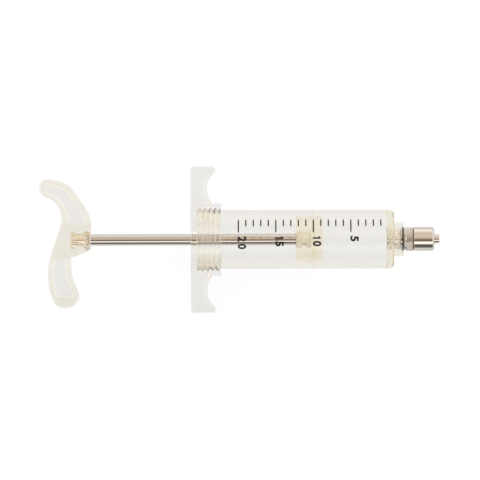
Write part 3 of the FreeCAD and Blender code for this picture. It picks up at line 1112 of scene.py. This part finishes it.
def make_lines():
    verts, faces = [], []
    for ml in range(1, SCALE_ML + 1):
        sweep = LONG_LINE_DEG if ml % LONG_EVERY == 0 else SHORT_LINE_DEG
        start = math.radians(LINE_START_DEG) * BARREL_R
        length = math.radians(sweep) * BARREL_R
        first = len(verts)
        for step in range(LINE_STEPS + 1):
            y = start - length * step / LINE_STEPS
            half = LINE_WIDTH / 2 * (LINE_END_WIDTH if step in (0, LINE_STEPS) else 1.0)
            verts.append(on_barrel(line_x(ml) - half, y))
            verts.append(on_barrel(line_x(ml) + half, y))
        for step in range(LINE_STEPS):
            i = first + 2 * step
            faces.append((i, i + 1, i + 3, i + 2))
    piece = new_mesh("scale_lines", verts, faces)
    dress(piece, "barrel", "ink", ink, "scale_print")


def digit_mesh(digit):
    """One plain digit as a flat mesh in text units, with its strokes thickened."""
    curve = bpy.data.curves.new("scale_digit", "FONT")
    curve.body = digit
    curve.resolution_u = 8
    curve.offset = DIGIT_STROKE_GROWTH
    text = bpy.data.objects.new("scale_digit", curve)
    bpy.context.scene.collection.objects.link(text)
    bpy.context.view_layer.update()
    mesh = bpy.data.meshes.new_from_object(text)
    bpy.data.objects.remove(text)
    return mesh


def one_mesh():
    """The digit 1 as a plain bar with a flag, which the built-in lettering lacks."""
    foot = [(0.5, 0), (ONE_WIDTH, 0), (ONE_WIDTH, ONE_HEIGHT)]
    flag = [(0.6, ONE_HEIGHT), (0, 2.75), (0, 2.2), (0.5, 2.5)]
    outline = foot + flag
    mesh = bpy.data.meshes.new("scale_one")
    mesh.from_pydata([(x, y, 0) for x, y in outline], [], [tuple(range(len(outline)))])
    return mesh


def make_number(ml):
    """One number, turned to read down the barrel and wrapped onto it."""
    work = bmesh.new()
    start_y = DIGIT_TOP_Y
    for digit in str(ml):
        older = set(work.verts)
        work.from_mesh(one_mesh() if digit == "1" else digit_mesh(digit))
        verts = [v for v in work.verts if v not in older]
        low_x = min(v.co.x for v in verts)
        high_x = max(v.co.x for v in verts)
        low_y = min(v.co.y for v in verts)
        high_y = max(v.co.y for v in verts)
        width = ONE_WIDTH if digit == "1" else DIGIT_WIDTH
        height = ONE_HEIGHT if digit == "1" else DIGIT_HEIGHT
        for v in verts:
            right = (v.co.x - low_x) / (high_x - low_x) * width
            up = (v.co.y - low_y) / (high_y - low_y) * height
            v.co = Vector((up, start_y - right, 0))
        start_y -= width + DIGIT_GAP
    bmesh.ops.remove_doubles(work, verts=work.verts, dist=TOUCH)
    bmesh.ops.triangulate(work, faces=work.faces)
    bmesh.ops.subdivide_edges(work, edges=work.edges, cuts=2)
    for v in work.verts:
        v.co = Vector(on_barrel(line_x(ml) - LINE_WIDTH / 2 + v.co.x, v.co.y)) * MM
    bmesh.ops.recalc_face_normals(work, faces=work.faces)
    mesh = bpy.data.meshes.new(f"scale_number_{ml}")
    work.to_mesh(mesh)
    work.free()
    piece = bpy.data.objects.new(f"scale_number_{ml}", mesh)
    bpy.context.scene.collection.objects.link(piece)
    dress(piece, "barrel", "ink", ink)


make_barrel()
make_insert(
    "nose_insert",
    "barrel",
    nickel,
    front_band=1.7,
    rear_band=2.3,
    waist_r=3.2,
    bore_r=SHANK_R + RUN_GAP,
    lens=PLASTIC_IOR,
)
make_insert(
    "piston_insert",
    "plunger",
    nickel,
    front_band=1.7,
    rear_band=2.55,
    waist_r=2.4,
    bore_r=ROD_END_R,
    lens=PISTON_IOR,
)
make_insert(
    "handle_insert",
    "plunger",
    brass,
    front_band=1.7,
    rear_band=1.7,
    waist_r=2.7,
    bore_r=ROD_END_R,
)
make_luer_hub()
make_lock_collar()
make_washer()
make_piston()
make_piston_plug()
make_seal()
make_rod()
make_handle()
make_finger_grip()
make_lines()
for number in range(LONG_EVERY, SCALE_ML + 1, LONG_EVERY):
    make_number(number)


# Floor: white to the camera and through plastic, with a faint contact shadow. Far to one side it
# is dark to mirrored rays alone, which gives the metal a dark edge.
FLOOR_DROP = 0.05
FLOOR_SIZE = 3.0
FLOOR_GLOW = 0.94
WHITE_DIRECT = 1.01
WHITE_THROUGH = 0.86
DARK_CARD = 0.14
DARK_CARD_FROM = -0.045
DARK_CARD_FULL = -0.06


def make_floor():
    low = min(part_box(node)[0].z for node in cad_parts)
    z = low - FLOOR_DROP * MM
    half = FLOOR_SIZE / 2
    mesh = bpy.data.meshes.new("floor")
    corners = [(-half, -half, z), (half, -half, z), (half, half, z), (-half, half, z)]
    mesh.from_pydata(corners, [], [(0, 1, 2, 3)])
    floor = bpy.data.objects.new("floor", mesh)
    bpy.context.scene.collection.objects.link(floor)
    made, tree, shader = material("floor_white")
    shader.inputs["Base Color"].default_value = (0.9, 0.9, 0.9, 1)
    shader.inputs["Roughness"].default_value = 1.0
    shader.inputs["Specular IOR Level"].default_value = 0.0
    glow = tree.nodes.new("ShaderNodeEmission")
    path = tree.nodes.new("ShaderNodeLightPath")
    glossy, bent = path.outputs["Is Glossy Ray"], path.outputs["Is Transmission Ray"]
    indirect = maths(tree, "MAXIMUM", glossy, bent)
    seen = maths(tree, "MAXIMUM", path.outputs["Is Camera Ray"], indirect)
    direct = maths(tree, "MULTIPLY", path.outputs["Is Camera Ray"], WHITE_DIRECT - WHITE_THROUGH)
    white = maths(tree, "ADD", direct, WHITE_THROUGH)
    place = tree.nodes.new("ShaderNodeNewGeometry")
    spot = tree.nodes.new("ShaderNodeSeparateXYZ")
    tree.links.new(place.outputs["Position"], spot.inputs["Vector"])
    card = ranged(tree, spot.outputs["Y"], DARK_CARD_FROM, DARK_CARD_FULL)
    mirrored = maths(tree, "MINIMUM", path.outputs["Glossy Depth"], glossy)
    shade = maths(tree, "MULTIPLY", card, mirrored)
    drop = maths(tree, "MULTIPLY", shade, DARK_CARD - WHITE_THROUGH)
    tree.links.new(maths(tree, "ADD", white, drop), glow.inputs["Strength"])
    mix = tree.nodes.new("ShaderNodeMixShader")
    tree.links.new(maths(tree, "MULTIPLY", seen, FLOOR_GLOW), mix.inputs["Fac"])
    tree.links.new(shader.outputs["BSDF"], mix.inputs[1])
    tree.links.new(glow.outputs["Emission"], mix.inputs[2])
    tree.links.new(mix.outputs["Shader"], tree.nodes["Material Output"].inputs["Surface"])
    mesh.materials.append(made)


# World: a soft studio whose brightness changes with the angle round the syringe's axis
STUDIO_BANDS = [
    (-180, (0.86, 0.84, 0.81)),
    (-141, (0.86, 0.84, 0.81)),
    (-118, (0.75, 0.70, 0.65)),
    (-100, (0.56, 0.50, 0.45)),
    (-86, (0.30, 0.27, 0.23)),
    (-76, (0.16, 0.13, 0.11)),
    (-62, (0.16, 0.13, 0.11)),
    (-54, (0.45, 0.40, 0.35)),
    (-45, (1.75, 1.62, 1.50)),
    (-32, (1.75, 1.62, 1.50)),
    (-23, (0.55, 0.46, 0.40)),
    (-17, (0.20, 0.15, 0.12)),
    (-8, (0.24, 0.17, 0.13)),
    (2, (0.62, 0.48, 0.38)),
    (12, (0.86, 0.72, 0.60)),
    (28, (0.95, 0.80, 0.68)),
    (56, (0.85, 0.74, 0.64)),
    (70, (1.05, 0.94, 0.82)),
    (84, (1.34, 1.26, 1.14)),
    (98, (1.30, 1.22, 1.12)),
    (127, (0.92, 0.86, 0.79)),
    (180, (0.86, 0.84, 0.81)),
]
END_CARDS = [
    (0.36, (1.15, 1.12, 1.08)),
    (0.40, (4.20, 4.15, 4.10)),
    (0.70, (4.20, 4.15, 4.10)),
    (0.74, (1.15, 1.12, 1.08)),
]
END_CARD_FROM = 0.33
END_CARD_FULL = 0.5
EVEN_LIGHT = (1.06, 1.03, 0.98)
SECOND_BOUNCE = 2
THREAD_SURFACES = 6
SHADED_SHARE = 0.2


def make_world():
    """Bands round the axis and a card at each end, for metal. Light through plastic is even.

    A ray that was mirrored once on its way through plastic comes mostly from metal and sees the
    bands too, but only a share of them where it crossed as many surfaces as in the thread.
    The end cards' bright strips show only in direct reflections, as fine highlights."""
    world = bpy.data.worlds.new("studio")
    bpy.context.scene.world = world
    world.use_nodes = True
    tree = world.node_tree
    place = tree.nodes.new("ShaderNodeTexCoord")
    path = tree.nodes.new("ShaderNodeLightPath")
    turn_back = tree.nodes.new("ShaderNodeMapping")
    turn_back.inputs["Rotation"].default_value = (-lie, 0, 0)
    parts = tree.nodes.new("ShaderNodeSeparateXYZ")
    tree.links.new(place.outputs["Generated"], turn_back.inputs["Vector"])
    tree.links.new(turn_back.outputs["Vector"], parts.inputs["Vector"])

    around = maths(tree, "ARCTAN2", parts.outputs["Y"], parts.outputs["Z"])
    fraction = maths(tree, "ADD", maths(tree, "DIVIDE", around, TURN), 0.5)
    stops = [((degrees + 180) / 360, colour) for degrees, colour in STUDIO_BANDS]
    bands = colour_stops(tree, fraction, stops)

    along = maths(tree, "ABSOLUTE", parts.outputs["X"], 0)
    direct = maths(tree, "LESS_THAN", path.outputs["Ray Depth"], SECOND_BOUNCE)
    strips = colour_stops(tree, along, END_CARDS)
    cards = mixed(tree, direct, END_CARDS[0][1], strips)
    endways = ranged(tree, along, END_CARD_FROM, END_CARD_FULL)
    studio = mixed(tree, endways, bands, cards)

    mirrored_once = maths(tree, "COMPARE", path.outputs["Glossy Depth"], 1)
    in_thread = maths(tree, "COMPARE", path.outputs["Transmission Depth"], THREAD_SURFACES)
    paler = maths(tree, "MULTIPLY", in_thread, 1 - SHADED_SHARE)
    share = maths(tree, "MULTIPLY", maths(tree, "SUBTRACT", 1, paler), mirrored_once)
    refracted = maths(tree, "GREATER_THAN", path.outputs["Transmission Depth"], 0)
    even = maths(tree, "MULTIPLY", refracted, maths(tree, "SUBTRACT", 1, share))
    light = mixed(tree, even, studio, EVEN_LIGHT)
    light = mixed(tree, path.outputs["Is Camera Ray"], light, WHITE)
    tree.links.new(light, tree.nodes["Background"].inputs["Color"])


def make_camera():
    data = bpy.data.cameras.new("camera")
    data.lens = LENS
    data.sensor_width = SENSOR
    camera = bpy.data.objects.new("camera", data)
    bpy.context.scene.collection.objects.link(camera)
    middle = PHOTO_PX / 2
    x = (middle - ORIGIN_PX[0]) * MM_PER_PX * MM
    y = (ORIGIN_PX[1] - middle) * MM_PER_PX * MM
    distance = PHOTO_PX * MM_PER_PX * MM * LENS / SENSOR
    roll = math.radians(PHOTO_ROLL_DEG)
    c, s = math.cos(roll), math.sin(roll)
    camera.location = lie_down @ Vector((x * c + y * s, y * c - x * s, distance))
    camera.rotation_euler = (lie_down @ Matrix.Rotation(-roll, 4, "Z")).to_euler()
    data.clip_end = CLIP_END
    bpy.context.scene.camera = camera


# Light that is caught inside the clear walls needs more bounces than the default
bpy.context.scene.cycles.max_bounces = 32
bpy.context.scene.cycles.transmission_bounces = 32
bpy.context.scene.cycles.glossy_bounces = 16

make_floor()
make_world()
make_camera()
bpy.context.scene.view_settings.view_transform = "Standard"
